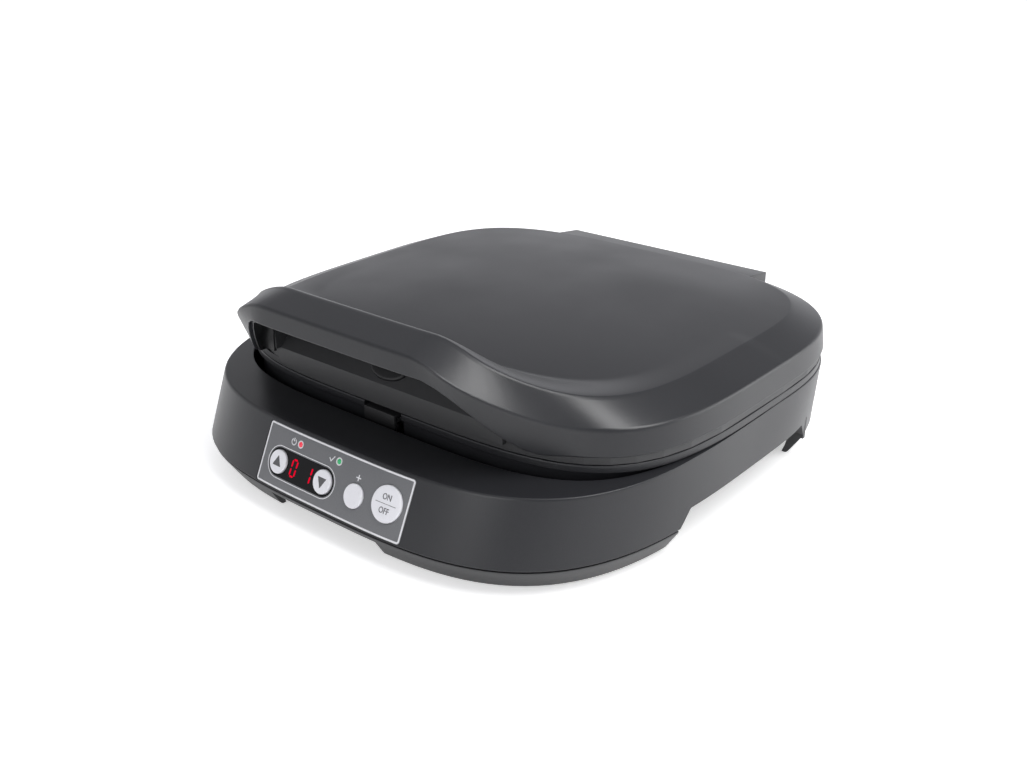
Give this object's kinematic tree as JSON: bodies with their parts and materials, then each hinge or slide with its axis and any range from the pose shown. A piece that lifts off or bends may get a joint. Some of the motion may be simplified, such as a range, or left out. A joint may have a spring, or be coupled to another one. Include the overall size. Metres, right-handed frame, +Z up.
{
  "type": "pancake_maker",
  "caption": "Countertop pancake maker with a domed hinged lid, a bow handle with a finger recess, a push latch and a sloping panel with four buttons and a digit display",
  "frame": {"origin": "middle of the footprint, on the plane the rubber feet stand on", "axes": "+X to the right as seen from the front, parallel to the hinge pins; +Y to the back, towards the hinge; +Z up"},
  "size_m": [0.2982, 0.312, 0.1098],
  "materials": {
    "casing": "fine-grained satin moulded plastic, charcoal",
    "dark_casing": "fine-grained matte moulded plastic, near black",
    "fascia": "satin grey film with a thin pale frame line",
    "display": "smooth dark plastic",
    "pearl": "pearly silver-white, satin",
    "red_lens": "clear red lens",
    "green_lens": "clear green lens",
    "board": "circuit board",
    "cooking_plate": "non-stick coated cast metal",
    "foot_rubber": "matte black rubber",
    "nylon": "natural nylon",
    "steel": "bare steel",
    "shield": "bare sheet"
  },
  "bodies": {
    "base": {"base_body": "casing", "base_rim": "casing", "base_pan": "dark_casing", "lower_plate": "cooking_plate", "lower_heating_element": "steel", "lower_heat_shield": "shield", "lower_temperature_sensor": "steel", "latch_catch": "steel", "panel_fascia": "fascia", "display_window": "display", "digit_display": "display", "control_board": "board", "up_switch": "steel", "down_switch": "steel", "more_switch": "steel", "start_switch": "steel", "power_lens": "red_lens", "ready_lens": "green_lens", "rubber_foot_1": "foot_rubber", "rubber_foot_2": "foot_rubber", "rubber_foot_3": "foot_rubber", "rubber_foot_4": "foot_rubber", "base_screw_1": "steel", "base_screw_2": "steel", "base_screw_3": "steel", "base_screw_4": "steel", "cord_gland": "dark_casing", "power_board": "board", "relay": "display", "transformer": "nylon", "terminal_block": "nylon", "hinge_bracket_left": "steel", "hinge_bracket_right": "steel", "hinge_pin_left": "steel", "hinge_pin_right": "steel"},
    "lid": {"lid_cover": "casing", "handle_grip": "dark_casing", "lid_frame": "dark_casing", "upper_plate": "cooking_plate", "upper_heating_element": "steel", "upper_heat_shield": "shield", "upper_temperature_sensor": "steel", "hinge_arm_left": "steel", "hinge_arm_right": "steel", "latch_pin": "steel", "latch_spring": "steel"},
    "latch_button": {"latch_button": "dark_casing"},
    "latch_hook": {"latch_hook": "dark_casing"},
    "up_button": {"up_button": "pearl"},
    "down_button": {"down_button": "pearl"},
    "more_button": {"more_button": "pearl"},
    "start_button": {"start_button": "pearl"}
  },
  "joints": [
    {"name": "lid_hinge", "type": "hinge", "parent": "base", "child": "lid", "pos_m": [0, 0.1451, 0.057], "axis": [-1, 0, 0], "range_deg": [0, 95]},
    {"name": "latch_press", "type": "slide", "parent": "lid", "child": "latch_button", "axis": [0, 0.7071, -0.7071], "range_m": [0, 0.002], "stiffness_N_per_m": 500},
    {"name": "hook_turn", "type": "hinge", "parent": "lid", "child": "latch_hook", "pos_m": [0, -0.0974, 0.0615], "axis": [-1, 0, 0], "range_deg": [0, 5]},
    {"name": "up_press", "type": "slide", "parent": "base", "child": "up_button", "axis": [0, 0.9033, -0.4289], "range_m": [0, 0.0008], "stiffness_N_per_m": 400},
    {"name": "down_press", "type": "slide", "parent": "base", "child": "down_button", "axis": [0, 0.9033, -0.4289], "range_m": [0, 0.0008], "stiffness_N_per_m": 400},
    {"name": "more_press", "type": "slide", "parent": "base", "child": "more_button", "axis": [0, 0.9033, -0.4289], "range_m": [0, 0.0008], "stiffness_N_per_m": 400},
    {"name": "start_press", "type": "slide", "parent": "base", "child": "start_button", "axis": [0, 0.9033, -0.4289], "range_m": [0, 0.0008], "stiffness_N_per_m": 400}
  ],
  "couplings": [
    {"joint": "hook_turn", "follows": "latch_press", "rad_per_m": 43.6}
  ]
}
